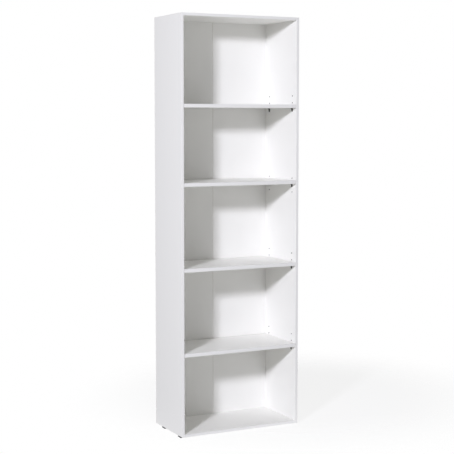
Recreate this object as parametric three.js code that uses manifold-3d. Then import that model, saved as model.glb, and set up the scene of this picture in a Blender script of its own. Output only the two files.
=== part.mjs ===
// Bookcase with adjustable shelves: a flat-pack case of two sides, top and bottom, a folding
// two-leaf back board, four loose shelves on plug-in supports, and nail-on glides.
// Millimetres. +Z is up, the open front faces -Y, and the origin is on the floor under the
// middle of the case.

import * as THREE from 'three';
import { mergeVertices } from 'three/addons/utils/BufferGeometryUtils.js';
import Module from 'manifold-3d';

const wasm = await Module();
wasm.setup();

// ---------------------------------------------------------------- driving dimensions

const CASE_WIDTH = 598;
const CASE_DEPTH = 300; // front edge to the rear face of the back board
const CASE_HEIGHT = 1899; // above the glides
const CASE_BOARD = 12; // sides, top and bottom
const SHELF_BOARD = 16;
const BACK_BOARD = 3;
const BACK_INSET = 1; // the back board stops short of the case's outline
const BACK_FOLD_GAP = 0.6; // slit between the two leaves

const GLIDE = { length: 32, width: 10, height: 6, corner: 3.5, chamfer: 1 };
const GLIDE_FROM_FRONT = [36, 216]; // centres, behind the front edge

// Shelf-pin holes: four groups of three rows, two columns on each side panel.
const HOLE_PITCH = 32;
const HOLE_ROWS = 3;
const HOLE_RADIUS = 2.65;
const HOLE_DEPTH = 9;
const HOLE_COLUMNS = { front: 40, rear: 261 }; // behind the front edge
const LOWEST_HOLE = 356.5; // above the underside of the case
// Each shelf's hole group starts this many pitches above the lowest hole, and the shelf hangs
// on this row of its group, counted from below.
const SHELVES = [
  { name: 'shelf_1', groupPitches: 35, row: 0 },
  { name: 'shelf_2', groupPitches: 23, row: 1 },
  { name: 'shelf_3', groupPitches: 12, row: 0 },
  { name: 'shelf_4', groupPitches: 0, row: 0 },
];
const SHELF_SIDE_CLEARANCE = 1;
const SHELF_FRONT_SETBACK = 1.5;
const SHELF_BACK_CLEARANCE = 2.5;
const SHELF_REST_GAP = 0.2; // loose shelf to support

// Plug-in shelf support: wall plate, shelf plate, stiffening web and a pin.
const SUPPORT = {
  width: 8,
  plate: 2,
  abovePin: 7.5,
  belowPin: 9,
  reach: 8,
  web: 2.4,
  webFoot: 6.5,
  webInset: 0.8,
  rootDepth: 1, // how far the web and the pin run into the plates
  pinRadius: 2.4,
  pinLength: 8,
  pinTaper: 0.8,
  wallGap: 0.3,
};

// Corner joints: each end of the top and bottom has two cam fittings and two dowels.
const CAM_FROM_EDGE = 50; // from the front and rear edges of the boards
const DOWEL_INBOARD = 32; // from the cam fitting next to it
const CAM = { radius: 6, height: 9.4, recess: 0.2, fromEnd: 24, slotWidth: 5.4, roof: 2.6 };
const CAM_POCKET = { radius: 6.3, depth: 9.9 };
const CAM_DRIVE = { length: 7, width: 1.3, depth: 1.4 };
const BOLT = {
  threadRadius: 2.6,
  threadLength: 8.5,
  collarRadius: 3.2,
  collarStart: 0.3,
  collarEnd: 1.7,
  neckRadius: 1.6,
  headRadius: 2.4,
  headLength: 3,
  headTaper: 0.6,
};
const BOLT_BORE_RADIUS = 3.5;
const BOLT_SOCKET = { radius: 2.9, depth: 9 };
const DOWEL = { radius: 3, inSide: 8, inPanel: 16, chamfer: 0.8 };
const DOWEL_BORE = { radius: 3.25, inSide: 8.8, inPanel: 17 };

const FINE_SIDES = 16; // facets round a visible round
const HOLE_SIDES = 12; // facets round a drilled hole
const OVERCUT = 1; // how far a cutter stands out of the face that it enters

// ---------------------------------------------------------------- derived places

const BASE_Z = GLIDE.height;
const TOP_Z = BASE_Z + CASE_HEIGHT;
const FRONT_Y = -CASE_DEPTH / 2;
const BOARD_DEPTH = CASE_DEPTH - BACK_BOARD;
const BACK_FACE_Y = FRONT_Y + BOARD_DEPTH;
const OUTER_X = CASE_WIDTH / 2;
const INNER_X = OUTER_X - CASE_BOARD;
const SIDES = { left: -1, right: 1 };
const CORNER_LEVELS = { bottom: BASE_Z + CASE_BOARD / 2, top: TOP_Z - CASE_BOARD / 2 };
const CORNER_ROWS = {
  front: { cam: FRONT_Y + CAM_FROM_EDGE, dowel: FRONT_Y + CAM_FROM_EDGE + DOWEL_INBOARD },
  rear: { cam: BACK_FACE_Y - CAM_FROM_EDGE, dowel: BACK_FACE_Y - CAM_FROM_EDGE - DOWEL_INBOARD },
};

const holeZ = (groupPitches, row) => BASE_Z + LOWEST_HOLE + (groupPitches + row) * HOLE_PITCH;
const columnY = (column) => FRONT_Y + HOLE_COLUMNS[column];
const shelfUnderside = (shelf) => holeZ(shelf.groupPitches, shelf.row) + SUPPORT.abovePin;

// ---------------------------------------------------------------- materials

function finish(color, roughness, metalness = 0) {
  return () => new THREE.MeshStandardMaterial({ color, roughness, metalness });
}

const whiteBoard = finish(0xeeeeee, 0.5);
const whiteBack = finish(0xe9e9e9, 0.6);
const blackPlastic = finish(0x1b1b1c, 0.55);
const zincPlate = finish(0xa9abad, 0.35, 0.9);
const beechWood = finish(0xc9a678, 0.7);

// ---------------------------------------------------------------- shape helpers

// A closed BufferGeometry as a solid that can be joined and cut.
function solidOf(geometry) {
  const bare = geometry.clone();
  bare.deleteAttribute('normal');
  bare.deleteAttribute('uv');
  const merged = mergeVertices(bare, 1e-4);
  return new wasm.Manifold(new wasm.Mesh({
    numProp: 3,
    vertProperties: merged.getAttribute('position').array,
    triVerts: Uint32Array.from(merged.getIndex().array),
  }));
}

function geometryOf(solid) {
  const { vertProperties, triVerts } = solid.getMesh();
  const geometry = new THREE.BufferGeometry();
  geometry.setAttribute('position', new THREE.BufferAttribute(vertProperties, 3));
  geometry.setIndex(new THREE.BufferAttribute(triVerts, 1));
  geometry.computeVertexNormals();
  return geometry;
}

// A box from its low corner to its high corner.
function block([x0, y0, z0], [x1, y1, z1]) {
  const geometry = new THREE.BoxGeometry(x1 - x0, y1 - y0, z1 - z0);
  return geometry.translate((x0 + x1) / 2, (y0 + y1) / 2, (z0 + z1) / 2);
}

// A round bar between two places along X.
function barAlongX(radius, x0, x1, y, z, sides = HOLE_SIDES) {
  const geometry = new THREE.CylinderGeometry(radius, radius, Math.abs(x1 - x0), sides);
  return geometry.rotateZ(Math.PI / 2).translate((x0 + x1) / 2, y, z);
}

// A round bar standing between two heights.
function barAlongZ(radius, z0, z1, x, y, sides = FINE_SIDES) {
  const geometry = new THREE.CylinderGeometry(radius, radius, z1 - z0, sides);
  return geometry.rotateX(Math.PI / 2).translate(x, y, (z0 + z1) / 2);
}

// A turned piece from [radius, distance] steps, with its axis along +X from x = 0.
function turnedAlongX(steps, sides = FINE_SIDES) {
  const profile = steps.map(([radius, distance]) => new THREE.Vector2(radius, distance));
  return new THREE.LatheGeometry(profile, sides).rotateZ(-Math.PI / 2);
}

function cut(geometry, cutters) {
  const removeFrom = (solid, cutter) => solid.subtract(solidOf(cutter));
  return geometryOf(cutters.reduce(removeFrom, solidOf(geometry)));
}

function join(geometries) {
  return geometryOf(geometries.map(solidOf).reduce((whole, solid) => whole.add(solid)));
}

const bookcase = new THREE.Group();

function place(name, geometry, material, parent = bookcase) {
  const mesh = new THREE.Mesh(geometry, material());
  mesh.name = name;
  parent.add(mesh);
  return mesh;
}

// ---------------------------------------------------------------- side panels

// Blind holes enter from the inner face towards the outer face.
function socketInSide(side, radius, depth, y, z) {
  const sign = SIDES[side];
  return barAlongX(radius, sign * (INNER_X - OVERCUT), sign * (INNER_X + depth), y, z);
}

function addSidePanel(side) {
  const sign = SIDES[side];
  const inner = sign * INNER_X;
  const outer = sign * OUTER_X;
  const panel = block(
    [Math.min(inner, outer), FRONT_Y, BASE_Z],
    [Math.max(inner, outer), BACK_FACE_Y, TOP_Z],
  );
  const cutters = [];
  for (const shelf of SHELVES) {
    for (let row = 0; row < HOLE_ROWS; row += 1) {
      for (const column of Object.keys(HOLE_COLUMNS)) {
        const z = holeZ(shelf.groupPitches, row);
        cutters.push(socketInSide(side, HOLE_RADIUS, HOLE_DEPTH, columnY(column), z));
      }
    }
  }
  for (const z of Object.values(CORNER_LEVELS)) {
    for (const { cam, dowel } of Object.values(CORNER_ROWS)) {
      cutters.push(socketInSide(side, BOLT_SOCKET.radius, BOLT_SOCKET.depth, cam, z));
      cutters.push(socketInSide(side, DOWEL_BORE.radius, DOWEL_BORE.inSide, dowel, z));
    }
  }
  place(`side_panel_${side}`, cut(panel, cutters), whiteBoard);
}

// ---------------------------------------------------------------- top and bottom

// Cam pockets open on the hidden face: up on the top, down on the bottom.
function addEndPanel(level) {
  const z = CORNER_LEVELS[level];
  const hidden = level === 'top' ? 1 : -1;
  const half = CASE_BOARD / 2;
  const panel = block([-INNER_X, FRONT_Y, z - half], [INNER_X, BACK_FACE_Y, z + half]);
  const pocketZ = [z + hidden * (half + OVERCUT), z + hidden * (half - CAM_POCKET.depth)];
  const cutters = [];
  for (const sign of Object.values(SIDES)) {
    const end = sign * (INNER_X + OVERCUT);
    const camX = sign * (INNER_X - CAM.fromEnd);
    for (const { cam, dowel } of Object.values(CORNER_ROWS)) {
      const [low, high] = [Math.min(...pocketZ), Math.max(...pocketZ)];
      cutters.push(barAlongZ(CAM_POCKET.radius, low, high, camX, cam));
      cutters.push(barAlongX(BOLT_BORE_RADIUS, end, camX, cam, z));
      cutters.push(barAlongX(DOWEL_BORE.radius, end, sign * (INNER_X - DOWEL_BORE.inPanel), dowel, z));
    }
  }
  place(`${level}_panel`, cut(panel, cutters), whiteBoard);
}

// ---------------------------------------------------------------- corner fittings

// The bolt points from the side panel into the case; its head sits inside the cam.
function boltGeometry() {
  const headStart = CAM.fromEnd - BOLT.headLength / 2;
  const steps = [
    [0, -BOLT.threadLength],
    [BOLT.threadRadius, -BOLT.threadLength],
    [BOLT.threadRadius, BOLT.collarStart],
    [BOLT.collarRadius, BOLT.collarStart],
    [BOLT.collarRadius, BOLT.collarEnd],
    [BOLT.neckRadius, BOLT.collarEnd],
    [BOLT.neckRadius, headStart],
    [BOLT.headRadius, headStart + BOLT.headTaper],
    [BOLT.headRadius, headStart + BOLT.headLength],
    [0, headStart + BOLT.headLength],
  ];
  return turnedAlongX(steps);
}

// The cam stands with its drive face up and its mouth towards +X.
function camGeometry() {
  const [long, narrow] = [CAM_DRIVE.length / 2, CAM_DRIVE.width / 2];
  const drive = [
    block([-long, -narrow, -CAM_DRIVE.depth], [long, narrow, OVERCUT]),
    block([-narrow, -long, -CAM_DRIVE.depth], [narrow, long, OVERCUT]),
  ];
  const mouth = block(
    [-CAM.radius / 2, -CAM.slotWidth / 2, -CAM.height - OVERCUT],
    [CAM.radius + OVERCUT, CAM.slotWidth / 2, -CAM.roof],
  );
  return cut(barAlongZ(CAM.radius, -CAM.height, 0, 0, 0), [mouth, ...drive]);
}

function dowelGeometry() {
  const { radius, inSide, inPanel, chamfer } = DOWEL;
  return turnedAlongX([
    [0, -inSide],
    [radius - chamfer, -inSide],
    [radius, -inSide + chamfer],
    [radius, inPanel - chamfer],
    [radius - chamfer, inPanel],
    [0, inPanel],
  ], HOLE_SIDES);
}

// A group whose +X points from a side panel's inner face into the case.
function cornerGroup(side, y, z) {
  const group = new THREE.Group();
  group.position.set(SIDES[side] * INNER_X, y, z);
  group.rotation.z = side === 'left' ? 0 : Math.PI;
  bookcase.add(group);
  return group;
}

function addCornerFittings() {
  const bolt = boltGeometry();
  const cam = camGeometry();
  const dowel = dowelGeometry();
  for (const level of Object.keys(CORNER_LEVELS)) {
    for (const side of Object.keys(SIDES)) {
      for (const row of Object.keys(CORNER_ROWS)) {
        const where = `${level}_${side}_${row}`;
        const z = CORNER_LEVELS[level];
        const camGroup = cornerGroup(side, CORNER_ROWS[row].cam, z);
        place(`cam_bolt_${where}`, bolt, zincPlate, camGroup);
        const lock = place(`cam_lock_${where}`, cam, zincPlate, camGroup);
        const hidden = level === 'top' ? 1 : -1;
        lock.position.set(CAM.fromEnd, 0, hidden * (CASE_BOARD / 2 - CAM.recess));
        // Mouth towards the side panel, drive face towards the board's hidden face.
        lock.rotation.z = Math.PI;
        if (hidden < 0) lock.rotation.x = Math.PI;
        place(`dowel_${where}`, dowel, beechWood, cornerGroup(side, CORNER_ROWS[row].dowel, z));
      }
    }
  }
}

// ---------------------------------------------------------------- back board

function addBackLeaf(side) {
  const sign = SIDES[side];
  const edges = [sign * BACK_FOLD_GAP / 2, sign * (OUTER_X - BACK_INSET)];
  const leaf = block(
    [Math.min(...edges), BACK_FACE_Y, BASE_Z + BACK_INSET],
    [Math.max(...edges), CASE_DEPTH / 2, TOP_Z - BACK_INSET],
  );
  place(`back_panel_${side}`, leaf, whiteBack);
}

// ---------------------------------------------------------------- shelves and supports

function addShelf(shelf) {
  const low = shelfUnderside(shelf);
  const halfWidth = INNER_X - SHELF_SIDE_CLEARANCE;
  const board = block(
    [-halfWidth, FRONT_Y + SHELF_FRONT_SETBACK, low],
    [halfWidth, BACK_FACE_Y - SHELF_BACK_CLEARANCE, low + SHELF_BOARD],
  );
  place(shelf.name, board, whiteBoard);
}

// The pin's axis is the origin, its collar lies on x = 0 and the shelf plate reaches to +X.
function supportGeometry() {
  const half = SUPPORT.width / 2;
  const top = SUPPORT.abovePin - SHELF_REST_GAP;
  const corner = SUPPORT.plate;
  const outline = new THREE.Shape();
  outline.moveTo(half, top);
  outline.lineTo(-half, top);
  outline.lineTo(-half, -SUPPORT.belowPin + corner);
  outline.absarc(-half + corner, -SUPPORT.belowPin + corner, corner, Math.PI, 1.5 * Math.PI, false);
  outline.absarc(half - corner, -SUPPORT.belowPin + corner, corner, 1.5 * Math.PI, 2 * Math.PI, false);
  outline.closePath();
  const flat = { bevelEnabled: false, curveSegments: 3 };
  const wallPlate = new THREE.ExtrudeGeometry(outline, { depth: SUPPORT.plate, ...flat });
  // Shape x, y, depth become model y, z, x.
  wallPlate.rotateX(Math.PI / 2).rotateZ(Math.PI / 2).translate(SUPPORT.wallGap, 0, 0);
  const reach = SUPPORT.wallGap + SUPPORT.reach;
  const shelfPlate = block([SUPPORT.wallGap, -half, top - SUPPORT.plate], [reach, half, top]);
  const { rootDepth, webFoot, webInset } = SUPPORT;
  const web = new THREE.Shape([
    new THREE.Vector2(rootDepth, top - rootDepth),
    new THREE.Vector2(rootDepth, -webFoot),
    new THREE.Vector2(SUPPORT.wallGap + SUPPORT.plate + webInset, -webFoot),
    new THREE.Vector2(reach - webInset, top - SUPPORT.plate),
    new THREE.Vector2(reach - webInset, top - rootDepth),
  ]);
  const webPlate = new THREE.ExtrudeGeometry(web, { depth: SUPPORT.web, ...flat });
  webPlate.rotateX(Math.PI / 2).translate(0, SUPPORT.web / 2, 0);
  const { pinRadius, pinLength, pinTaper } = SUPPORT;
  const pin = turnedAlongX([
    [0, -pinLength],
    [pinRadius - pinTaper, -pinLength],
    [pinRadius, -pinLength + pinTaper],
    [pinRadius, rootDepth],
    [0, rootDepth],
  ], HOLE_SIDES);
  return join([wallPlate, shelfPlate, webPlate, pin]);
}

function addSupports() {
  const geometry = supportGeometry();
  for (const [index, shelf] of SHELVES.entries()) {
    for (const side of Object.keys(SIDES)) {
      for (const column of Object.keys(HOLE_COLUMNS)) {
        const group = cornerGroup(side, columnY(column), holeZ(shelf.groupPitches, shelf.row));
        place(`support_${index + 1}_${side}_${column}`, geometry, blackPlastic, group);
      }
    }
  }
}

// ---------------------------------------------------------------- glides

// A flat pad with round corners and a chamfered sole.
function glideGeometry() {
  const { length, width, height, corner, chamfer } = GLIDE;
  const [halfX, halfY] = [width / 2 - chamfer, length / 2 - chamfer];
  const inner = corner - chamfer;
  const outline = new THREE.Shape();
  outline.absarc(halfX - inner, halfY - inner, inner, 0, Math.PI / 2, false);
  outline.absarc(-halfX + inner, halfY - inner, inner, Math.PI / 2, Math.PI, false);
  outline.absarc(-halfX + inner, -halfY + inner, inner, Math.PI, 1.5 * Math.PI, false);
  outline.absarc(halfX - inner, -halfY + inner, inner, 1.5 * Math.PI, 2 * Math.PI, false);
  outline.closePath();
  const pad = new THREE.ExtrudeGeometry(outline, {
    depth: height - 2 * chamfer,
    curveSegments: 4,
    bevelThickness: chamfer,
    bevelSize: chamfer,
    bevelSegments: 1,
  });
  return pad.translate(0, 0, chamfer);
}

function addGlides() {
  const geometry = glideGeometry();
  for (const [side, sign] of Object.entries(SIDES)) {
    for (const [index, fromFront] of GLIDE_FROM_FRONT.entries()) {
      const glide = place(`glide_${side}_${index ? 'rear' : 'front'}`, geometry, blackPlastic);
      glide.position.set(sign * (OUTER_X - CASE_BOARD / 2), FRONT_Y + fromFront, 0);
    }
  }
}

// ---------------------------------------------------------------- assembly

for (const side of Object.keys(SIDES)) {
  addSidePanel(side);
  addBackLeaf(side);
}
for (const level of Object.keys(CORNER_LEVELS)) addEndPanel(level);
addCornerFittings();
SHELVES.forEach(addShelf);
addSupports();
addGlides();

export default bookcase;
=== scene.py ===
# The looks of a bookcase with adjustable shelves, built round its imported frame.
# Metres. +Z is up, the open front faces -Y, and +X is to the right seen from the front.
import math

import bmesh
import bpy
from mathutils import Matrix, Vector


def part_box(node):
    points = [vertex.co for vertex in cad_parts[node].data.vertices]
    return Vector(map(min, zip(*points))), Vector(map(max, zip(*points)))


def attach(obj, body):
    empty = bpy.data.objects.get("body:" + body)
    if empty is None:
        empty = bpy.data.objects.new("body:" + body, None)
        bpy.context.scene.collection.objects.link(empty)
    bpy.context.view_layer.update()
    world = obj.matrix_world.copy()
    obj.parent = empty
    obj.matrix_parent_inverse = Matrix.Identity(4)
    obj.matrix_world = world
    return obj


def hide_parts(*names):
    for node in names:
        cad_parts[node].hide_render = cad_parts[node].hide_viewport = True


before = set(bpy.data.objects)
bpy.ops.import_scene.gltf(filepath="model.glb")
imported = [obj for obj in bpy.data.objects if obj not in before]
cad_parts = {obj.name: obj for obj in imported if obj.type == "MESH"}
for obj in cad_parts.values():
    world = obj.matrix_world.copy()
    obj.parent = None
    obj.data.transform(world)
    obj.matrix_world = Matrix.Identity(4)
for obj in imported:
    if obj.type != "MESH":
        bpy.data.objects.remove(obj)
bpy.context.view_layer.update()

MM = 0.001

# ------------------------------------------------------------------ sizes of the visible detail

BAND = 0.8 * MM  # plastic edge band
BAND_ARRIS = 0.6 * MM
CORE_ARRIS = 0.12 * MM
ON_PLANE = 0.001 * MM  # a vertex this close to a plane lies on it
PIN_ABOVE_FOOT = 9.0 * MM  # shelf-pin axis above the lowest point of its support
HOLE_PITCH = 32 * MM
# Hole rows of each shelf's group, counted upwards from the row that holds its supports.
ROWS_FROM_PIN = {1: (0, 1, 2), 2: (-1, 0, 1), 3: (0, 1, 2), 4: (0, 1, 2)}
SIDES = ("left", "right")
ENDS = ("front", "rear")
LEVELS = ("bottom", "top")

# ------------------------------------------------------------------ node trees written as expressions


class Wire:
    """One output inside a node tree. Arithmetic on it adds Math nodes."""

    def __init__(self, nodes, socket):
        self.nodes, self.socket = nodes, socket

    def maths(self, operation, *values, clamp=False):
        settings = {"operation": operation, "use_clamp": clamp}
        return self.nodes.node("ShaderNodeMath", settings, dict(enumerate(values)))

    def __add__(self, other):
        return self.maths("ADD", self, other)

    def __radd__(self, other):
        return self.maths("ADD", other, self)

    def __sub__(self, other):
        return self.maths("SUBTRACT", self, other)

    def __rsub__(self, other):
        return self.maths("SUBTRACT", other, self)

    def __mul__(self, other):
        return self.maths("MULTIPLY", self, other)

    def __rmul__(self, other):
        return self.maths("MULTIPLY", other, self)

    def at_least(self, lowest):
        return self.maths("MAXIMUM", self, lowest)

    def above(self, edge, soft):
        """0 below the edge, 1 above it, with a soft step between."""
        return self.maths("MULTIPLY_ADD", self, 1 / soft, 0.5 - edge / soft, clamp=True)


class Nodes:
    """Adds nodes to a tree: one call takes a node's type, its settings and its inputs."""

    def __init__(self, tree):
        self.tree = tree
        tree.nodes.clear()

    def node(self, kind, settings=None, inputs=None, out=0):
        made = self.tree.nodes.new(kind)
        for key, value in (settings or {}).items():
            if key == "stops":
                ramp = made.color_ramp
                while len(ramp.elements) < len(value):
                    ramp.elements.new(1.0)
                for element, (place, colour) in zip(ramp.elements, value):
                    element.position, element.color = place, (*colour, 1.0)
            else:
                setattr(made, key, value)
        for key, value in (inputs or {}).items():
            socket = made.inputs[key]
            if isinstance(value, Wire):
                self.tree.links.new(value.socket, socket)
            else:
                socket.default_value = value
        return Wire(self, made.outputs[out]) if made.outputs else None


# The colour sockets of a Mix node, which share their names with its other sockets.
MIX_AMOUNT, MIX_LOW, MIX_HIGH, MIX_RESULT = 0, 6, 7, 2


class Finish(Nodes):
    """A procedural material on Object coordinates."""

    def __init__(self, name):
        self.material = bpy.data.materials.new(name)
        self.material.use_nodes = True
        super().__init__(self.material.node_tree)
        self.place = self.node("ShaderNodeTexCoord", out="Object")

    def stretched(self, scale):
        """Object coordinates multiplied by a scale for each axis."""
        settings = {"operation": "MULTIPLY"}
        return self.node("ShaderNodeVectorMath", settings, {0: self.place, 1: scale})

    def noise(self, scale, detail=2.0, roughness=0.5, at=None, distortion=0.0):
        inputs = {"Vector": at or self.place, "Scale": scale, "Detail": detail,
                  "Roughness": roughness, "Distortion": distortion}
        return self.node("ShaderNodeTexNoise", {}, inputs, out="Fac")

    def cells(self, scale, at=None, out="Distance"):
        inputs = {"Vector": at or self.place, "Scale": scale}
        return self.node("ShaderNodeTexVoronoi", {}, inputs, out=out)

    def blend(self, amount, low, high):
        """A colour between two colours."""
        inputs = {MIX_AMOUNT: amount,
                  MIX_LOW: low if isinstance(low, Wire) else (*low, 1),
                  MIX_HIGH: high if isinstance(high, Wire) else (*high, 1)}
        return self.node("ShaderNodeMix", {"data_type": "RGBA"}, inputs, out=MIX_RESULT)

    def ramp(self, amount, stops):
        return self.node("ShaderNodeValToRGB", {"stops": stops}, {"Fac": amount}, out="Color")

    def done(self, colour, roughness, relief=None, depth=0.00002, metallic=0.0, specular=0.5):
        """Closes the material with its surface. Relief is a height from 0 to 1, of that depth."""
        inputs = {"Base Color": colour, "Roughness": roughness, "Metallic": metallic,
                  "Specular IOR Level": specular}
        if relief is not None:
            bump = {"Height": relief, "Distance": depth, "Strength": 1.0}
            inputs["Normal"] = self.node("ShaderNodeBump", {}, bump)
        surface = self.node("ShaderNodeBsdfPrincipled", {}, inputs)
        self.node("ShaderNodeOutputMaterial", {}, {"Surface": surface})
        return self.material


# ------------------------------------------------------------------ finishes


def melamine():
    """White melamine paper on chipboard: fine pearl texture, faint tone drift, dusty scuffs."""
    paint = Finish("white melamine")
    pearl = paint.noise(1500, 1.0)
    drift = paint.noise(1.7, 3.0)
    scuff = paint.noise(26, 4.0, 0.7, at=paint.stretched((1, 1, 0.35))).above(0.66, 0.16)
    clean = paint.blend(drift, (0.908, 0.905, 0.878), (0.884, 0.881, 0.857))
    colour = paint.blend(scuff * 0.05, clean, (0.62, 0.61, 0.59))
    roughness = 0.36 + drift * 0.1 + scuff * 0.08 + pearl * 0.05
    return paint.done(colour, roughness, pearl, 0.02 * MM)


def edge_band():
    """Thin plastic banding: a shade cleaner than the boards, with faint scraper lines along it."""
    paint = Finish("white edge band")
    lines = paint.noise(60, 2.0, at=paint.stretched((0.4, 9, 0.4)))
    drift = paint.noise(3.0, 2.0)
    colour = paint.blend(drift, (0.82, 0.819, 0.806), (0.796, 0.795, 0.784))
    return paint.done(colour, 0.3 + lines * 0.12, lines, 0.015 * MM)


def raw_chipboard():
    """Cut chipboard: pressed flakes of many browns with dark resin specks."""
    paint = Finish("raw chipboard")
    flat = paint.stretched((1.0, 1.0, 0.6))
    shade = paint.cells(620, flat, out="Color")
    tone = paint.node("ShaderNodeSeparateColor", {}, {0: shade})
    gaps = paint.cells(620, flat)
    specks = paint.noise(900, 2.0).above(0.68, 0.08)
    browns = [(0.0, (0.30, 0.19, 0.10)), (0.45, (0.47, 0.33, 0.19)), (1.0, (0.63, 0.49, 0.32))]
    wood = paint.ramp(tone, browns)
    colour = paint.blend(specks * 0.7, wood, (0.12, 0.07, 0.04))
    return paint.done(colour, 0.85 + specks * 0.1, 1 - gaps, 0.25 * MM, specular=0.2)


def drilled_chipboard_painted_shade():
    """The wall of a drilled hole: the same flakes, crushed and darkened by the bit, and near black with
    painted shade deep in the hole.
    """
    paint = Finish("drilled chipboard")
    flakes = paint.cells(900, out="Color")
    tone = paint.node("ShaderNodeSeparateColor", {}, {0: flakes})
    rings = paint.noise(1300, 2.0)
    # Near-black browns: painted shade in the hole's recess, on top of the bit's own darkening.
    colour = paint.blend(tone, (0.026, 0.021, 0.017), (0.07, 0.056, 0.044))
    return paint.done(colour, 0.9, rings, 0.1 * MM, specular=0.1)


def back_lacquer():
    """White lacquer on thin hardboard: the fibre shows through as a soft long grain."""
    paint = Finish("white lacquered hardboard")
    grain = paint.noise(240, 3.0, at=paint.stretched((1, 1, 0.22)))
    drift = paint.noise(2.3, 3.0)
    colour = paint.blend(drift, (0.908, 0.905, 0.878), (0.884, 0.881, 0.857))
    return paint.done(colour, 0.42 + grain * 0.1, grain, 0.03 * MM)


def back_fibre():
    """Bare hardboard: mottled brown pressed fibre with dark and light strands."""
    paint = Finish("bare hardboard")
    cloud = paint.noise(9, 5.0, 0.65)
    strands = paint.noise(330, 5.0, 0.7, at=paint.stretched((1, 1, 0.45)), distortion=1.2)
    specks = paint.noise(700, 2.0).above(0.7, 0.06)
    ground = paint.blend(cloud, (0.30, 0.19, 0.108), (0.43, 0.29, 0.172))
    stranded = paint.blend(strands.above(0.55, 0.3) * 0.6, ground, (0.56, 0.41, 0.26))
    colour = paint.blend(specks * 0.65, stranded, (0.11, 0.06, 0.033))
    return paint.done(colour, 0.62 + strands * 0.2, strands, 0.08 * MM, specular=0.3)


def paper_tape():
    """Gummed kraft tape with long fibres and a slight sheen where it was rubbed down."""
    paint = Finish("kraft tape")
    fibres = paint.noise(500, 4.0, 0.7, at=paint.stretched((1, 1, 0.12)))
    rub = paint.noise(14, 3.0, at=paint.stretched((3, 1, 0.3)))
    colour = paint.blend(fibres, (0.47, 0.33, 0.20), (0.60, 0.45, 0.29))
    return paint.done(colour, 0.5 + rub * 0.3, fibres, 0.03 * MM)


def black_plastic():
    """Moulded black plastic: fine spark-eroded texture, greyer where it has been rubbed."""
    paint = Finish("black plastic")
    texture = paint.noise(2600, 1.0)
    rub = paint.noise(210, 3.0, 0.6).above(0.62, 0.2)
    colour = paint.blend(rub * 0.3, (0.009, 0.009, 0.01), (0.04, 0.04, 0.042))
    return paint.done(colour, 0.5 + texture * 0.12 + rub * 0.1, texture, 0.02 * MM, specular=0.2)


def cast_zinc():
    """Die-cast zinc: dull grey metal with a sand-fine skin and darker flow marks."""
    paint = Finish("die-cast zinc")
    skin = paint.noise(1900, 2.0)
    flow = paint.noise(160, 3.0, 0.6, distortion=1.5)
    colour = paint.blend(flow, (0.50, 0.51, 0.53), (0.66, 0.67, 0.68))
    return paint.done(colour, 0.34 + skin * 0.16 + flow * 0.08, skin, 0.03 * MM, metallic=1.0)


def bright_steel():
    """Zinc-plated steel: brighter, with drawn lines and a faint straw tint in the plating."""
    paint = Finish("plated steel")
    lines = paint.noise(900, 2.0, at=paint.stretched((1, 0.2, 1)))
    tint = paint.noise(90, 2.0)
    colour = paint.blend(tint, (0.55, 0.56, 0.59), (0.62, 0.59, 0.51))
    return paint.done(colour, 0.22 + lines * 0.18, lines, 0.01 * MM, metallic=1.0)


def beech():
    """Turned beech: straight grain along X with short dark rays."""
    paint = Finish("beech")
    grain = paint.noise(420, 4.0, 0.6, at=paint.stretched((0.08, 1, 1)))
    rays = paint.noise(1500, 1.0, at=paint.stretched((0.22, 1, 1))).above(0.66, 0.08)
    wood = paint.blend(grain, (0.56, 0.38, 0.22), (0.72, 0.54, 0.36))
    colour = paint.blend(rays * 0.6, wood, (0.36, 0.21, 0.11))
    return paint.done(colour, 0.6 + grain * 0.15, grain, 0.05 * MM)


FINISHES = {
    "melamine": melamine(),
    "edge band": edge_band(),
    "chipboard": raw_chipboard(),
    "drilled": drilled_chipboard_painted_shade(),
    "back white": back_lacquer(),
    "back brown": back_fibre(),
    "tape": paper_tape(),
    "black": black_plastic(),
    "cast zinc": cast_zinc(),
    "steel": bright_steel(),
    "beech": beech(),
}

# ------------------------------------------------------------------ geometry trees


class Growth(Nodes):
    """A geometry tree with a geometry input and output and the named inputs."""

    def __init__(self, name, inputs):
        tree = bpy.data.node_groups.new(name, "GeometryNodeTree")
        for direction in ("INPUT", "OUTPUT"):
            tree.interface.new_socket("Geometry", in_out=direction, socket_type="NodeSocketGeometry")
        for label, kind in inputs:
            tree.interface.new_socket(label, in_out="INPUT", socket_type=kind)
        super().__init__(tree)
        self.entry = tree.nodes.new("NodeGroupInput")

    def take(self, label):
        """The named input of the tree."""
        return Wire(self, self.entry.outputs[label])


def set_out(made, marks, template, lean=None, seed=None):
    """Copies of a template at every mark, turned by the mark's own turn plus a random lean."""
    named = {"data_type": "FLOAT_VECTOR"}
    turn = made.node("GeometryNodeInputNamedAttribute", named, {"Name": "turn"})
    if lean is not None:
        scaled = {"operation": "SCALE"}
        low = made.node("ShaderNodeVectorMath", scaled, {0: (-1, -1, -1), "Scale": lean})
        high = made.node("ShaderNodeVectorMath", scaled, {0: (1, 1, 1), "Scale": lean})
        inputs = {"Min": low, "Max": high, "Seed": seed}
        tilt = made.node("FunctionNodeRandomValue", named, inputs)
        turn = made.node("ShaderNodeVectorMath", {"operation": "ADD"}, {0: turn, 1: tilt})
    rotation = made.node("FunctionNodeEulerToRotation", {}, {0: turn})
    inputs = {"Points": marks, "Instance": template, "Rotation": rotation}
    placed = made.node("GeometryNodeInstanceOnPoints", {}, inputs)
    return made.node("GeometryNodeRealizeInstances", {}, {0: placed})


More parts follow.
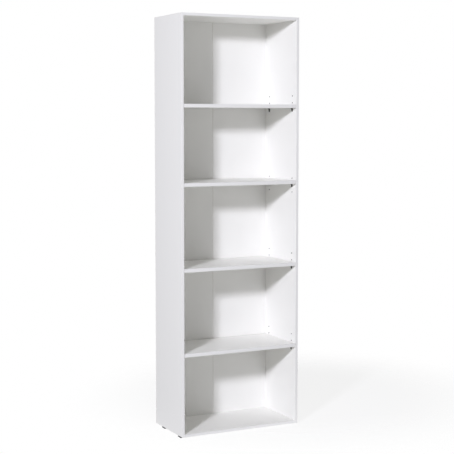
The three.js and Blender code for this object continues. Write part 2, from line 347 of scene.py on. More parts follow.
def copies_tree():
    """Fasteners: one template at each mark of the object's own mesh."""
    kinds = [("Template", "NodeSocketObject"), ("Finish", "NodeSocketMaterial"),
             ("Lean", "NodeSocketFloat"), ("Seed", "NodeSocketInt")]
    made = Growth("copies on marks", kinds)
    copied = {"Object": made.take("Template")}
    template = made.node("GeometryNodeObjectInfo", {}, copied, out="Geometry")
    placed = set_out(made, made.take("Geometry"), template, made.take("Lean"), made.take("Seed"))
    inputs = {"Geometry": placed, "Material": made.take("Finish")}
    coated = made.node("GeometryNodeSetMaterial", {}, inputs)
    made.node("NodeGroupOutput", {}, {0: coated})
    return made.tree


def drilling_tree():
    """A board with a drill bit's shape taken out at every mark; the cut faces get their own finish."""
    kinds = [("Marks", "NodeSocketObject"), ("Bit", "NodeSocketObject"),
             ("Cut finish", "NodeSocketMaterial")]
    made = Growth("drilled board", kinds)
    marks = made.node("GeometryNodeObjectInfo", {}, {"Object": made.take("Marks")}, out="Geometry")
    bit = made.node("GeometryNodeObjectInfo", {}, {"Object": made.take("Bit")}, out="Geometry")
    bits = set_out(made, marks, bit)
    stored = {"data_type": "BOOLEAN", "domain": "FACE"}
    inputs = {"Geometry": bits, "Name": "drilled", "Value": True}
    bits = made.node("GeometryNodeStoreNamedAttribute", stored, inputs)
    settings = {"operation": "DIFFERENCE", "solver": "EXACT"}
    cut = made.node("GeometryNodeMeshBoolean", settings, {0: made.take("Geometry"), 1: bits})
    whole = made.node("GeometryNodeRealizeInstances", {}, {0: cut})
    flag = {"data_type": "BOOLEAN"}
    drilled = made.node("GeometryNodeInputNamedAttribute", flag, {"Name": "drilled"})
    inputs = {"Geometry": whole, "Selection": drilled, "Material": made.take("Cut finish")}
    coated = made.node("GeometryNodeSetMaterial", {}, inputs)
    made.node("NodeGroupOutput", {}, {0: coated})
    return made.tree


COPIES = copies_tree()
DRILLING = drilling_tree()


def grow(obj, tree, values):
    """Runs a geometry tree on an object and keeps the result as its plain mesh."""
    modifier = obj.modifiers.new(tree.name, "NODES")
    modifier.node_group = tree
    for item in tree.interface.items_tree:
        if item.item_type == "SOCKET" and item.in_out == "INPUT" and item.name in values:
            modifier[item.identifier] = values[item.name]
    return plain(obj)


def plain(obj):
    """Replaces an object's mesh by its evaluated mesh and removes the modifiers."""
    bpy.context.view_layer.update()
    graph = bpy.context.evaluated_depsgraph_get()
    mesh = bpy.data.meshes.new_from_object(obj.evaluated_get(graph), depsgraph=graph)
    obj.modifiers.clear()
    obj.data = mesh
    return obj


# ------------------------------------------------------------------ mesh helpers


def object_of(name, mesh_maker, *finishes):
    """A linked object whose mesh comes from a finished bmesh."""
    mesh = bpy.data.meshes.new(name)
    mesh_maker.to_mesh(mesh)
    mesh_maker.free()
    obj = bpy.data.objects.new(name, mesh)
    bpy.context.scene.collection.objects.link(obj)
    for key in finishes:
        mesh.materials.append(FINISHES[key])
    return obj


def discard(*objects):
    for obj in objects:
        bpy.data.objects.remove(obj)


def block(shape, low, high):
    """Adds a box to a bmesh and returns its edges."""
    low, high = Vector(low), Vector(high)
    size = high - low
    where = Matrix.Translation((low + high) / 2) @ Matrix.Diagonal((*size, 1))
    corners = bmesh.ops.create_cube(shape, size=1, matrix=where)["verts"]
    return list(dict.fromkeys(edge for corner in corners for edge in corner.link_edges))


def soften(shape, edges, width, steps=1):
    inputs = {"geom": edges, "offset": width, "segments": steps, "profile": 0.5, "affect": "EDGES"}
    return bmesh.ops.bevel(shape, offset_type="OFFSET", **inputs)


def smooth_rounds(obj, sharp_above=math.radians(35)):
    """Smooth shading with every crease above an angle kept sharp."""
    shape = bmesh.new()
    shape.from_mesh(obj.data)
    for face in shape.faces:
        face.smooth = True
    for edge in shape.edges:
        edge.smooth = len(edge.link_faces) == 2 and edge.calc_face_angle(0) < sharp_above
    shape.to_mesh(obj.data)
    shape.free()
    return obj


def turned(steps, around=32, radius_at=None):
    """A closed turned shape along X from (distance, radius) steps.

    radius_at, where given, changes the radius round each ring.
    """
    shape = bmesh.new()
    rings = []
    for distance, radius in steps:
        ring = []
        for index in range(around):
            angle = math.tau * index / around
            r = radius_at(distance, radius, angle) if radius_at else radius
            ring.append(shape.verts.new((distance, r * math.cos(angle), r * math.sin(angle))))
        rings.append(ring)
    for before, after in zip(rings, rings[1:]):
        for index in range(around):
            nxt = (index + 1) % around
            shape.faces.new((before[index], before[nxt], after[nxt], after[index]))
    shape.faces.new(rings[0])
    shape.faces.new(rings[-1])
    bmesh.ops.recalc_face_normals(shape, faces=shape.faces)
    return shape


def marks_object(name, marks):
    """A mesh of loose points, each with its own turn, from (place, turn) pairs."""
    mesh = bpy.data.meshes.new(name)
    mesh.from_pydata([place for place, _ in marks], [], [])
    turns = mesh.attributes.new("turn", "FLOAT_VECTOR", "POINT")
    for entry, (_, turn) in zip(turns.data, marks):
        entry.vector = turn
    obj = bpy.data.objects.new(name, mesh)
    bpy.context.scene.collection.objects.link(obj)
    return obj


def drill(board, marks, bit_shape):
    marks_obj = marks_object("drill_marks", marks)
    bit = object_of("drill_bit", bit_shape)
    values = {"Marks": marks_obj, "Bit": bit, "Cut finish": FINISHES["drilled"]}
    grow(board, DRILLING, values)
    discard(marks_obj, bit)
    return board


def carve(obj, cutter_shape, operation="DIFFERENCE"):
    """Takes another shape out of an object, or joins it on."""
    cutter = object_of("cutter", cutter_shape)
    modifier = obj.modifiers.new("carve", "BOOLEAN")
    modifier.operation, modifier.solver, modifier.object = operation, "EXACT", cutter
    plain(obj)
    discard(cutter)
    return obj


def moved(shape, matrix):
    bmesh.ops.transform(shape, matrix=matrix, verts=shape.verts)
    return shape


def settle(obj, body, slot, *nodes):
    """Hands a finished piece to the frame."""
    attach(obj, body)
    if nodes:
        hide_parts(*nodes)
    return obj


# ------------------------------------------------------------------ boards

AXES = {"x": 0, "y": 1, "z": 2}


def board_core(name, low, high, thickness_axis):
    """A board's core: melamine on its two wide faces, raw chipboard on its edges."""
    shape = bmesh.new()
    edges = block(shape, low, high)
    soften(shape, edges, CORE_ARRIS)
    core = object_of(name, shape, "melamine", "chipboard")
    axis = AXES[thickness_axis]
    for face in core.data.polygons:
        face.material_index = 0 if abs(face.normal[axis]) > 0.9 else 1
    return core


def band_strip(name, low, high, outward_axis, outward_sign):
    """A strip of edge band with its outer arrises rounded over."""
    shape = bmesh.new()
    edges = block(shape, low, high)
    axis = AXES[outward_axis]
    edge_place = (high if outward_sign > 0 else low)[axis]
    outer = [e for e in edges if all(abs(v.co[axis] - edge_place) < ON_PLANE for v in e.verts)]
    soften(shape, outer, min(BAND_ARRIS, BAND * 0.9), 3)
    return object_of(name, shape, "edge band")


def front_band(name, low, high, body, node):
    """Bands a board's front edge and returns the core's new low corner."""
    strip = band_strip(name, low, Vector((high.x, low.y + BAND, high.z)), "y", -1)
    settle(strip, body, "white_board", node)
    return Vector((low.x, low.y + BAND, low.z))


def shelf(number):
    node = f"shelf_{number}"
    low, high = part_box(node)
    core_low = front_band(f"{node}_edge_band", low, high, node, node)
    core = board_core(f"{node}_board", core_low, high, "z")
    settle(core, node, "white_board", node)


def pin_place(number, side, end):
    """The axis of one support's pin where it enters the side panel."""
    low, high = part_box(f"support_{number}_{side}_{end}")
    inner, _ = inner_and_outer(side)
    return Vector((inner, (low.y + high.y) / 2, low.z + PIN_ABOVE_FOOT))


def inner_and_outer(side):
    """X of a side panel's inner and outer faces."""
    low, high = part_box(f"side_panel_{side}")
    return (high.x, low.x) if side == "left" else (low.x, high.x)


def joint_place(kind, level, side, end):
    """Where a corner fitting's axis crosses the side panel's inner face."""
    low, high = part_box(f"{kind}_{level}_{side}_{end}")
    inner, _ = inner_and_outer(side)
    return Vector((inner, (low.y + high.y) / 2, (low.z + high.z) / 2))


INWARD = {"left": Vector((0, 0, 0)), "right": Vector((0, 0, math.pi))}  # +X into the case
OUTWARD = {"left": INWARD["right"], "right": INWARD["left"]}  # +X into the side panel

PIN_HOLE = {"radius": 2.65 * MM, "depth": 9 * MM, "mouth": 0.45 * MM}
BOLT_SOCKET = {"radius": 2.9 * MM, "depth": 9 * MM, "mouth": 0.2 * MM}
DOWEL_SOCKET = {"radius": 3.2 * MM, "depth": 8.8 * MM, "mouth": 0.2 * MM}
BOLT_BORE = {"radius": 3.5 * MM, "depth": 22 * MM, "mouth": 0.2 * MM}
DOWEL_BORE = {"radius": 3.2 * MM, "depth": 17 * MM, "mouth": 0.2 * MM}
CAM_POCKET = {"radius": 6.3 * MM, "depth": 9.9 * MM, "mouth": 0.2 * MM}
OVERCUT = 1 * MM


def bit_along_x(radius, depth, mouth, around=24):
    """A drill bit along +X whose shoulder breaks the hole's mouth, and whose tip is a flat cone."""
    return turned([
        (-OVERCUT, radius + mouth + OVERCUT),
        (0, radius + mouth),
        (mouth, radius),
        (depth - 0.5 * MM, radius),
        (depth, radius * 0.35),
    ], around)


def side_panel(side):
    node = f"side_panel_{side}"
    low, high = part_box(node)
    core_low = front_band(f"{node}_front_band", low, high, "case", node)
    top_low = Vector((core_low.x, core_low.y, high.z - BAND))
    top_strip = band_strip(f"{node}_top_band", top_low, high, "z", 1)
    settle(top_strip, "case", "white_board", node)
    foot_high = Vector((high.x, high.y, low.z + BAND))
    foot_strip = band_strip(f"{node}_foot_band", core_low, foot_high, "z", -1)
    settle(foot_strip, "case", "white_board", node)
    core_low = Vector((core_low.x, core_low.y, low.z + BAND))
    core_high = Vector((high.x, high.y, high.z - BAND))
    core = board_core(f"{node}_board", core_low, core_high, "x")
    pins = []
    for number, rows in ROWS_FROM_PIN.items():
        for end in ENDS:
            for row in rows:
                place = pin_place(number, side, end) + Vector((0, 0, row * HOLE_PITCH))
                pins.append((place, OUTWARD[side]))
    drill(core, pins, bit_along_x(**PIN_HOLE))
    for kind, size in (("cam_bolt", BOLT_SOCKET), ("dowel", DOWEL_SOCKET)):
        places = [joint_place(kind, level, side, end) for level in LEVELS for end in ENDS]
        drill(core, [(place, OUTWARD[side]) for place in places], bit_along_x(**size))
    settle(core, "case", "white_board", node)


def end_panel(level):
    """The top or bottom board: end bores, and cam pockets in the face that is out of sight."""
    node = f"{level}_panel"
    low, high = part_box(node)
    core_low = front_band(f"{node}_edge_band", low, high, "case", node)
    core = board_core(f"{node}_board", core_low, high, "z")
    for kind, size in (("cam_bolt", BOLT_BORE), ("dowel", DOWEL_BORE)):
        marks = [(joint_place(kind, level, side, end), INWARD[side])
                 for side in SIDES for end in ENDS]
        drill(core, marks, bit_along_x(**size))
    face = high.z if level == "top" else low.z
    downward = math.pi / 2 if level == "top" else -math.pi / 2
    marks = []
    for side in SIDES:
        for end in ENDS:
            cam_low, cam_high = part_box(f"cam_lock_{level}_{side}_{end}")
            middle = (cam_low + cam_high) / 2
            marks.append((Vector((middle.x, middle.y, face)), Vector((0, downward, 0))))
    drill(core, marks, bit_along_x(**CAM_POCKET, around=40))
    settle(core, "case", "white_board", node)


# ------------------------------------------------------------------ back board

BACK_ARRIS = 0.8 * MM
TAPE = {"width": 38 * MM, "thickness": 0.18 * MM, "end gap": 2 * MM}
TAPE_STEPS = 60
NAIL = {"head": 1.9 * MM, "cap": 0.55 * MM, "shank": 0.75 * MM, "length": 16 * MM}
NAIL_PROUD = NAIL["cap"] * 0.4  # how far a nail's head stands out of the board
NAIL_MARGIN = 60 * MM  # from the case's corners
NAIL_SPACING = 140 * MM
NAIL_LEAN = math.radians(3)


def back_leaf(side):
    """Thin hardboard: lacquered inside, bare outside, edges slightly rounded along the fold."""
    node = f"back_panel_{side}"
    low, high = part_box(node)
    high = Vector((high.x, high.y - TAPE["thickness"] - NAIL_PROUD, high.z))
    shape = bmesh.new()
    edges = block(shape, low, high)
    fold_x = high.x if side == "left" else low.x
    fold = [e for e in edges if all(abs(v.co.x - fold_x) < ON_PLANE for v in e.verts)]
    soften(shape, fold, BACK_ARRIS, 3)
    leaf = object_of(f"{node}_leaf", shape, "back white", "back brown")
    for face in leaf.data.polygons:
        face.material_index = 0 if face.normal.y < -0.3 else 1
    settle(leaf, "case", "white_back", node)
    return low, high


def fold_tape(left_high, right_low):
    """The paper tape that hinges the two leaves, on their bare side."""
    half = TAPE["width"] / 2
    middle = (left_high.x + right_low.x) / 2
    bottom, top = right_low.z + TAPE["end gap"], left_high.z - TAPE["end gap"]
    shape = bmesh.new()
    rows = []
    for step in range(TAPE_STEPS + 1):
        z = bottom + (top - bottom) * step / TAPE_STEPS
        drift = 0.5 * MM * math.sin(step * 0.9) + 0.3 * MM * math.sin(step * 2.3)
        near, far = left_high.y, left_high.y + TAPE["thickness"]
        corners = [(middle - half + drift, near), (middle + half + drift, near),
                   (middle + half + drift, far), (middle - half + drift, far)]
        rows.append([shape.verts.new((x, y, z)) for x, y in corners])
    for before, after in zip(rows, rows[1:]):
        for index in range(4):
            nxt = (index + 1) % 4
            shape.faces.new((before[index], before[nxt], after[nxt], after[index]))
    shape.faces.new(rows[0])
    shape.faces.new(rows[-1])
    bmesh.ops.recalc_face_normals(shape, faces=shape.faces)
    settle(object_of("back_fold_tape", shape, "tape"), "case", "white_back")


def evenly(start, stop, spacing):
    """Places from start to stop, both included, close to a spacing apart."""
    count = max(1, round((stop - start) / spacing))
    return [start + (stop - start) * index / count for index in range(count + 1)]


def back_nails(face_y):
    """Flat-headed nails into the edges of the sides, top and bottom."""
    side_low, side_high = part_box("side_panel_left")
    x = abs(side_low.x + side_high.x) / 2
    bottom_low, bottom_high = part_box("bottom_panel")
    top_low, top_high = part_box("top_panel")
    rows = [(bottom_low.z + bottom_high.z) / 2, (top_low.z + top_high.z) / 2]
    up_a_side = evenly(rows[0] + NAIL_MARGIN, rows[1] - NAIL_MARGIN, NAIL_SPACING)
    along_a_row = evenly(-x + NAIL_MARGIN, x - NAIL_MARGIN, NAIL_SPACING)
    places = [(sign * x, z) for sign in (-1, 1) for z in up_a_side]
    places += [(across, z) for z in rows for across in along_a_row]
    into_board = Vector((0, 0, -math.pi / 2))
    marks = [(Vector((across, face_y + NAIL_PROUD, z)), into_board) for across, z in places]
    head = turned([
        (0.0, NAIL["head"] * 0.75),
        (NAIL["cap"] * 0.35, NAIL["head"]),
        (NAIL["cap"], NAIL["head"]),
        (NAIL["cap"], NAIL["shank"]),
        (NAIL["length"] - 2 * MM, NAIL["shank"]),
        (NAIL["length"], NAIL["shank"] * 0.15),
    ], 16)
    template = object_of("nail_template", head, "steel")
    smooth_rounds(template)
    nails = marks_object("back_nails", marks)
    values = {"Template": template, "Finish": FINISHES["steel"], "Lean": NAIL_LEAN, "Seed": 7}
    grow(nails, COPIES, values)
    discard(template)
    settle(nails, "case", "zinc")


# ------------------------------------------------------------------ corner fittings

CAM_RADIUS = 6 * MM
CAM_WAIST = 5.5 * MM
CAM_MOUTH = {"half width": 2.7 * MM, "roof": 2.6 * MM}
CAM_CROSS = {"long": 3.5 * MM, "narrow": 0.65 * MM, "depth": 1.6 * MM}
CAM_ARROW = {"foot": 0.9 * MM, "top": 0.75 * MM, "height": 0.5 * MM, "off centre": 4.2 * MM}
BOLT_THREAD = {"root": 1.9 * MM, "crest": 2.7 * MM, "pitch": 1.7 * MM, "length": 8.5 * MM}
BOLT_NECK = 1.6 * MM
BOLT_COLLAR = 3.2 * MM
BOLT_HEAD = 2.4 * MM
DOWEL_FLUTES = 16
DOWEL_FLUTE_DEPTH = 0.22 * MM
DOWEL_CHAMFER = 0.9 * MM


def bolt_template():
    """A cam bolt along X: coarse thread behind the origin, collar, neck and ball head."""
    length, pitch = BOLT_THREAD["length"], BOLT_THREAD["pitch"]
    rings = 40
    steps = [(-length - 0.1 * MM, BOLT_THREAD["root"] * 0.5)]
    steps += [(-length + length * ring / rings, BOLT_THREAD["root"]) for ring in range(rings)]
    steps += [(0.0, 2.2 * MM), (0.3 * MM, BOLT_COLLAR), (1.6 * MM, BOLT_COLLAR), (1.7 * MM, BOLT_NECK)]
    _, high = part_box("cam_bolt_top_left_front")
    tip = high.x - inner_and_outer("left")[0]
    steps += [
        (tip - 3.2 * MM, BOLT_NECK),
        (tip - 2.4 * MM, BOLT_HEAD),
        (tip - 0.7 * MM, BOLT_HEAD),
        (tip, 1.4 * MM),
    ]
    depth = BOLT_THREAD["crest"] - BOLT_THREAD["root"]

    def threaded(distance, radius, angle):
        if not -length <= distance < -0.1 * MM:
            return radius
        phase = (distance / pitch - angle / math.tau) % 1
        fade = min(1, (distance + length) / (2 * pitch), -distance / pitch)
        return radius + depth * max(0, 1 - abs(phase - 0.5) * 2.6) * fade

    return turned(steps, 28, threaded)


def dowel_template():
    """A fluted beech dowel along X."""
    low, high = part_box("dowel_top_left_front")
    inner = inner_and_outer("left")[0]
    start, stop, radius = low.x - inner, high.x - inner, (high.z - low.z) / 2

    def fluted(distance, r, angle):
        return r - DOWEL_FLUTE_DEPTH * max(0, math.cos(DOWEL_FLUTES * angle)) ** 3

    steps = [
        (start, radius - DOWEL_CHAMFER),
        (start + DOWEL_CHAMFER, radius),
        (stop - DOWEL_CHAMFER, radius),
        (stop, radius - DOWEL_CHAMFER),
    ]
    return turned(steps, DOWEL_FLUTES * 6, fluted)


def cam_template():
    """A die-cast cam: rim, cross recess, arrow, waist and a mouth for the bolt. Drive face at z = 0."""
    low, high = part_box("cam_lock_top_left_front")
    height = high.z - low.z
    stand = Matrix.Rotation(-math.pi / 2, 4, "Y")  # +X up
    profile = [
        (-height, CAM_RADIUS - 0.5 * MM),
        (-height + 0.5 * MM, CAM_RADIUS),
        (-height + 1.8 * MM, CAM_RADIUS),
        (-height + 2.2 * MM, CAM_WAIST),
        (-2.4 * MM, CAM_WAIST),
        (-2.0 * MM, CAM_RADIUS),
        (-0.3 * MM, CAM_RADIUS),
        (0, CAM_RADIUS - 0.3 * MM),
        (0, CAM_RADIUS - 0.9 * MM),
        (-0.25 * MM, CAM_RADIUS - 1.1 * MM),
    ]
    cam = object_of("cam_template", moved(turned(profile, 48), stand), "cast zinc")
    mouth = bmesh.new()
    half, roof = CAM_MOUTH["half width"], CAM_MOUTH["roof"]
    block(mouth, (-CAM_RADIUS * 0.5, -half, -height - OVERCUT), (CAM_RADIUS + OVERCUT, half, -roof))
    carve(cam, mouth)
    long, narrow = CAM_CROSS["long"], CAM_CROSS["narrow"]
    for half_x, half_y in ((long, narrow), (narrow, long)):
        slot = bmesh.new()
        block(slot, (-half_x, -half_y, -CAM_CROSS["depth"]), (half_x, half_y, OVERCUT))
        carve(cam, slot)
    arrow = bmesh.new()
    bmesh.ops.create_cone(
        arrow, cap_ends=True, segments=3, radius1=CAM_ARROW["foot"], radius2=CAM_ARROW["top"],
        depth=CAM_ARROW["height"])
    arrow_place = Matrix.Translation((CAM_ARROW["off centre"], 0, -CAM_ARROW["height"] / 2))
    carve(cam, moved(arrow, arrow_place), "UNION")
    return smooth_rounds(cam)


def fittings(kind, template, finish, slot, marks):
    """All fasteners of one kind as one set."""
    nodes = [f"{kind}_{level}_{side}_{end}" for level in LEVELS for side in SIDES for end in ENDS]
    group = marks_object(f"{kind}_set", marks)
    values = {"Template": template, "Finish": FINISHES[finish], "Lean": 0.0, "Seed": 1}
    grow(group, COPIES, values)
    discard(template)
    settle(group, "case", slot, *nodes)


def corner_fittings():
    corners = [(level, side, end) for level in LEVELS for side in SIDES for end in ENDS]
    bolt = smooth_rounds(object_of("bolt_template", bolt_template(), "steel"))
    marks = [(joint_place("cam_bolt", *corner), INWARD[corner[1]]) for corner in corners]
    fittings("cam_bolt", bolt, "steel", "zinc", marks)
    dowel = smooth_rounds(object_of("dowel_template", dowel_template(), "beech"), math.radians(50))
    marks = [(joint_place("dowel", *corner), INWARD[corner[1]]) for corner in corners]
    fittings("dowel", dowel, "beech", "beech", marks)
    marks = []
    for level, side, end in corners:
        low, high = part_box(f"cam_lock_{level}_{side}_{end}")
        middle = (low + high) / 2
        flip, face = (0.0, high.z) if level == "top" else (math.pi, low.z)
        # The mouth looks back at the side panel; a flipped cam keeps its mouth on the same side.
        turn = math.pi if side == "left" else 0.0
        marks.append((Vector((middle.x, middle.y, face)), Vector((flip, 0, turn))))
    fittings("cam_lock", cam_template(), "cast zinc", "zinc", marks)


# ------------------------------------------------------------------ shelf supports

SUPPORT_WIDTH = 8 * MM
SUPPORT_PLATE = 2 * MM
SUPPORT_EDGE = 0.3 * MM
WALL_GAP = 0.3 * MM
WEB = {"width": 2.4 * MM, "foot": 6.5 * MM}
WEB_OVERLAP = 1 * MM  # how far the web reaches into the plates it joins
WEB_HOLLOW = [(3.4 * MM, -2.6 * MM), (4.6 * MM, 1.2 * MM), (6.1 * MM, 3.9 * MM)]  # concave front edge
PIN_RADIUS = 2.25 * MM
PIN_TAPER = 0.8 * MM
PIN_RIBS = 4
PIN_RIB_HEIGHT = 0.14 * MM

PUSHED = {  # a point of a two-axis outline, pushed along the third axis
    "x": lambda a, b, along: (along, a, b),
    "y": lambda a, b, along: (a, along, b),
    "z": lambda a, b, along: (a, b, along),
}


def plate_outline(shape, outline, axis, start, stop):
    """A plate pushed from a two-axis outline along the third axis."""
    near = [shape.verts.new(PUSHED[axis](a, b, start)) for a, b in outline]
    far = [shape.verts.new(PUSHED[axis](a, b, stop)) for a, b in outline]
    for index in range(len(outline)):
        nxt = (index + 1) % len(outline)
        shape.faces.new((near[index], near[nxt], far[nxt], far[index]))
    shape.faces.new(near)
    shape.faces.new(far)
    bmesh.ops.recalc_face_normals(shape, faces=shape.faces)
    return shape


def rounded(half_width, low, high, low_radius, high_radius, steps=6):
    """A rectangle outline with rounded corners, different below and above."""
    points = []
    corners = [(half_width, low, low_radius, -90), (half_width, high, high_radius, 0),
               (-half_width, high, high_radius, 90), (-half_width, low, low_radius, 180)]
    for x, y, radius, start in corners:
        cx = x - math.copysign(radius, x)
        cy = y + radius if y == low else y - radius
        for step in range(steps + 1):
            angle = math.radians(start + 90 * step / steps)
            points.append((cx + radius * math.cos(angle), cy + radius * math.sin(angle)))
    return points


def long_edges(shape, above=math.radians(40)):
    return [e for e in shape.edges if e.calc_face_angle(0) > above]


def support_template():
    """A plug-in support: wall plate, shelf plate, stiffening web and ribbed pin along -X."""
    low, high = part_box("support_1_left_front")
    inner = inner_and_outer("left")[0]
    top = high.z - low.z - PIN_ABOVE_FOOT
    reach, pin_end = high.x - inner, low.x - inner
    half = SUPPORT_WIDTH / 2
    wall = plate_outline(
        bmesh.new(), rounded(half, -PIN_ABOVE_FOOT, top, 2.4 * MM, 0.4 * MM), "x",
        WALL_GAP, WALL_GAP + SUPPORT_PLATE)
    soften(wall, long_edges(wall), SUPPORT_EDGE, 2)
    support = object_of("support_template", wall, "black")
    middle = (WALL_GAP + reach) / 2
    corners = rounded(half, WALL_GAP - middle, reach - middle, 0.4 * MM, 1.8 * MM)
    outline = [(x + middle, y) for y, x in corners]
    shelf_plate = plate_outline(bmesh.new(), outline, "z", top - SUPPORT_PLATE, top)
    soften(shelf_plate, long_edges(shelf_plate), SUPPORT_EDGE, 2)
    carve(support, shelf_plate, "UNION")
    root, under = WALL_GAP + WEB_OVERLAP, top - WEB_OVERLAP
    toe, tip = WALL_GAP + SUPPORT_PLATE + 0.8 * MM, reach - 0.8 * MM
    web_outline = [(root, under), (root, -WEB["foot"]), (toe, -WEB["foot"])]
    web_outline += WEB_HOLLOW + [(tip, top - SUPPORT_PLATE), (tip, under)]
    web = plate_outline(bmesh.new(), web_outline, "y", -WEB["width"] / 2, WEB["width"] / 2)
    carve(support, web, "UNION")

    def ribbed(distance, radius, angle):
        rib = max(0, math.cos(PIN_RIBS * angle)) ** 8
        return radius + (PIN_RIB_HEIGHT * rib if radius == PIN_RADIUS else 0)

    pin = turned([
        (pin_end, PIN_RADIUS - PIN_TAPER),
        (pin_end + PIN_TAPER, PIN_RADIUS),
        (-0.2 * MM, PIN_RADIUS),
        (root, PIN_RADIUS),
    ], 48, ribbed)
    carve(support, pin, "UNION")
    return smooth_rounds(support, math.radians(38))


def shelf_supports():
    template = support_template()
    for number in ROWS_FROM_PIN:
        for side in SIDES:
            for end in ENDS:
                node = f"support_{number}_{side}_{end}"
                place = Matrix.Translation(pin_place(number, side, end))
                turn = Matrix.Rotation(INWARD[side].z, 4, "Z")
                mesh = template.data.copy()
                mesh.transform(place @ turn)
                obj = bpy.data.objects.new(f"{node}_bracket", mesh)
                bpy.context.scene.collection.objects.link(obj)
                settle(obj, node, "black_plastic", node)
    discard(template)


# ------------------------------------------------------------------ glides

GLIDE_CORNER = 3.5 * MM
GLIDE_SOLE_ROUND = 0.5 * MM
GLIDE_RIM_ROUND = 0.25 * MM
GLIDE_RECESS = {"radius": 2.9 * MM, "depth": 2.2 * MM, "mouth": 0.4 * MM}
GLIDE_NAIL = {"head": 2.2 * MM, "cap": 0.7 * MM, "shank": 0.8 * MM, "length": 16 * MM}
GLIDE_NAIL_LEAN = math.radians(1.5)


def glide(side, end):
    """A nail-on glide: domed sole, sunk nail hole."""
    node = f"glide_{side}_{end}"
    low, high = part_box(node)
    middle = (low + high) / 2
    half_x, half_y = (high.x - low.x) / 2, (high.y - low.y) / 2
    corners = rounded(half_x, -half_y, half_y, GLIDE_CORNER, GLIDE_CORNER, 8)
    outline = [(x + middle.x, y + middle.y) for x, y in corners]
    pad = plate_outline(bmesh.new(), outline, "z", low.z, high.z)
    sole = [e for e in pad.edges if all(v.co.z < low.z + ON_PLANE for v in e.verts)]
    soften(pad, sole, GLIDE_SOLE_ROUND, 4)
    rim = [e for e in pad.edges if all(v.co.z > high.z - ON_PLANE for v in e.verts)]
    soften(pad, rim, GLIDE_RIM_ROUND, 2)
    obj = object_of(f"{node}_pad", pad, "black")
    radius, depth, mouth = GLIDE_RECESS["radius"], GLIDE_RECESS["depth"], GLIDE_RECESS["mouth"]
    bore = turned([
        (-OVERCUT, radius + mouth + OVERCUT),
        (0, radius + mouth),
        (mouth, radius),
        (depth, radius),
    ], 28)
    stand = Matrix.Translation((middle.x, middle.y, low.z)) @ Matrix.Rotation(-math.pi / 2, 4, "Y")
    carve(obj, moved(bore, stand))
    settle(smooth_rounds(obj), "case", "black_plastic", node)
    return Vector((middle.x, middle.y, low.z + depth - GLIDE_NAIL["cap"]))


def glides():
    heads = [glide(side, end) for side in SIDES for end in ENDS]
    upward = Vector((0, -math.pi / 2, 0))
    nail = turned([
        (0, GLIDE_NAIL["head"] * 0.8),
        (0.3 * MM, GLIDE_NAIL["head"]),
        (GLIDE_NAIL["cap"], GLIDE_NAIL["head"]),
        (GLIDE_NAIL["cap"], GLIDE_NAIL["shank"]),
        (GLIDE_NAIL["length"] - 2 * MM, GLIDE_NAIL["shank"]),
        (GLIDE_NAIL["length"], 0.15 * MM),
    ], 20)
    template = smooth_rounds(object_of("glide_nail_template", nail, "steel"))
    nails = marks_object("glide_nails", [(place, upward) for place in heads])
    values = {"Template": template, "Finish": FINISHES["steel"], "Lean": GLIDE_NAIL_LEAN, "Seed": 3}
    grow(nails, COPIES, values)
    discard(template)
    settle(nails, "case", "zinc")


# ------------------------------------------------------------------ assembly

for panel_side in SIDES:
    side_panel(panel_side)
for panel_level in LEVELS:
    end_panel(panel_level)
for shelf_number in ROWS_FROM_PIN:
    shelf(shelf_number)
_, left_leaf_high = back_leaf("left")
right_leaf_low, _ = back_leaf("right")
fold_tape(left_leaf_high, right_leaf_low)
back_nails(left_leaf_high.y)
corner_fittings()
shelf_supports()
glides()

# ------------------------------------------------------------------ studio

CAMERA_PLACE = Vector((-2.4508, -4.8845, 1.433))
CAMERA_TURN = math.radians(26.66)  # to the right of straight ahead
CAMERA_DIP = math.radians(4.53)
CAMERA_LENS = 93.11
CAMERA_SENSOR = 36
CAMERA_SHIFT = -0.03
KEY_PLACE = Vector((-4.11, -3.83, 2.84))
KEY_AIM = Vector((0, 0, -1.8))
KEY_SIZE = 0.54
KEY_POWER = 310
KEY_COLOUR = (0.913, 0.912, 1.0)
# Each side of the room: the direction towards it and how strongly it lights the object.
FILL = {
    "left": ((-1, 0, 0), 0.0),
    "right": ((1, 0, 0), 0.2),
    "front": ((0, -1, 0), 0.19),
    "rear": ((0, 1, 0), 0.28),
    "above": ((0, 0, 1), 0.27),
    "below": ((0, 0, -1), 0.89),
}
WHITE = (1, 1, 1, 1)
BACKDROP = 1.0
FLOOR_CENTRE = Vector((0.6, 0.38, 0))
FLOOR_RADIUS = 1.25
FLOOR_SOLID = 0.45  # the floor fades into the backdrop from here outwards
FLOOR_GLOW = 0.82


def add_camera():
    camera = bpy.data.objects.new("camera", bpy.data.cameras.new("camera"))
    bpy.context.scene.collection.objects.link(camera)
    camera.data.lens, camera.data.sensor_width = CAMERA_LENS, CAMERA_SENSOR
    camera.data.shift_y = CAMERA_SHIFT
    camera.data.clip_end = 100
    camera.location = CAMERA_PLACE
    camera.rotation_euler = (math.pi / 2 - CAMERA_DIP, 0, -CAMERA_TURN)
    bpy.context.scene.camera = camera


def add_key():
    light = bpy.data.lights.new("key softbox", "AREA")
    light.shape, light.size, light.energy, light.color = "SQUARE", KEY_SIZE, KEY_POWER, KEY_COLOUR
    key = bpy.data.objects.new("key softbox", light)
    bpy.context.scene.collection.objects.link(key)
    key.location = KEY_PLACE
    key.rotation_euler = (KEY_AIM - KEY_PLACE).to_track_quat("-Z", "Y").to_euler()


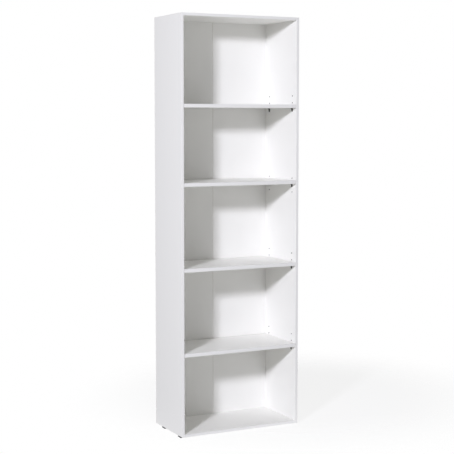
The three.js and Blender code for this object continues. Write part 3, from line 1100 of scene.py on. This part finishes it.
def add_surroundings():
    """A white room. As a light it is stronger from some sides than from others."""
    world = bpy.data.worlds.new("white room")
    bpy.context.scene.world = world
    world.use_nodes = True
    room = Nodes(world.node_tree)
    aim = room.node("ShaderNodeTexCoord", out="Generated")
    strength = 0.0
    dot = {"operation": "DOT_PRODUCT"}
    for towards, amount in FILL.values():
        facing = room.node("ShaderNodeVectorMath", dot, {0: aim, 1: towards}, out="Value")
        strength = facing.at_least(0.0) * amount + strength
    seen = room.node("ShaderNodeLightPath", out="Is Camera Ray")
    glow = room.node("ShaderNodeBackground", {}, {"Color": WHITE, "Strength": strength})
    white = room.node("ShaderNodeBackground", {}, {"Color": WHITE, "Strength": BACKDROP})
    mixed = room.node("ShaderNodeMixShader", {}, {0: seen, 1: glow, 2: white})
    room.node("ShaderNodeOutputWorld", {}, {"Surface": mixed})


def add_floor():
    """A round pale floor that fades out into the backdrop."""
    shape = bmesh.new()
    where = Matrix.Translation(FLOOR_CENTRE)
    bmesh.ops.create_circle(shape, cap_ends=True, segments=96, radius=FLOOR_RADIUS, matrix=where)
    mesh = bpy.data.meshes.new("floor")
    shape.to_mesh(mesh)
    shape.free()
    floor = bpy.data.objects.new("floor", mesh)
    bpy.context.scene.collection.objects.link(floor)
    paint = Finish("pale floor")
    cloud = paint.noise(1.5, 2.0)
    colour = paint.blend(cloud, (0.17, 0.17, 0.17), (0.155, 0.155, 0.155))
    ends = {0: paint.place, 1: FLOOR_CENTRE}
    reach = paint.node("ShaderNodeVectorMath", {"operation": "DISTANCE"}, ends, out="Value")
    soft = {"interpolation_type": "SMOOTHSTEP"}
    limits = {"Value": reach, "From Min": FLOOR_SOLID, "From Max": FLOOR_RADIUS,
              "To Min": 1.0, "To Max": 0.0}
    fade = paint.node("ShaderNodeMapRange", soft, limits)
    inputs = {"Base Color": colour, "Roughness": 0.8, "Specular IOR Level": 0.2, "Alpha": fade,
              "Emission Color": WHITE, "Emission Strength": FLOOR_GLOW}
    surface = paint.node("ShaderNodeBsdfPrincipled", {}, inputs)
    paint.node("ShaderNodeOutputMaterial", {}, {"Surface": surface})
    mesh.materials.append(paint.material)


add_camera()
add_key()
add_surroundings()
add_floor()
bpy.context.scene.view_settings.view_transform = "Standard"
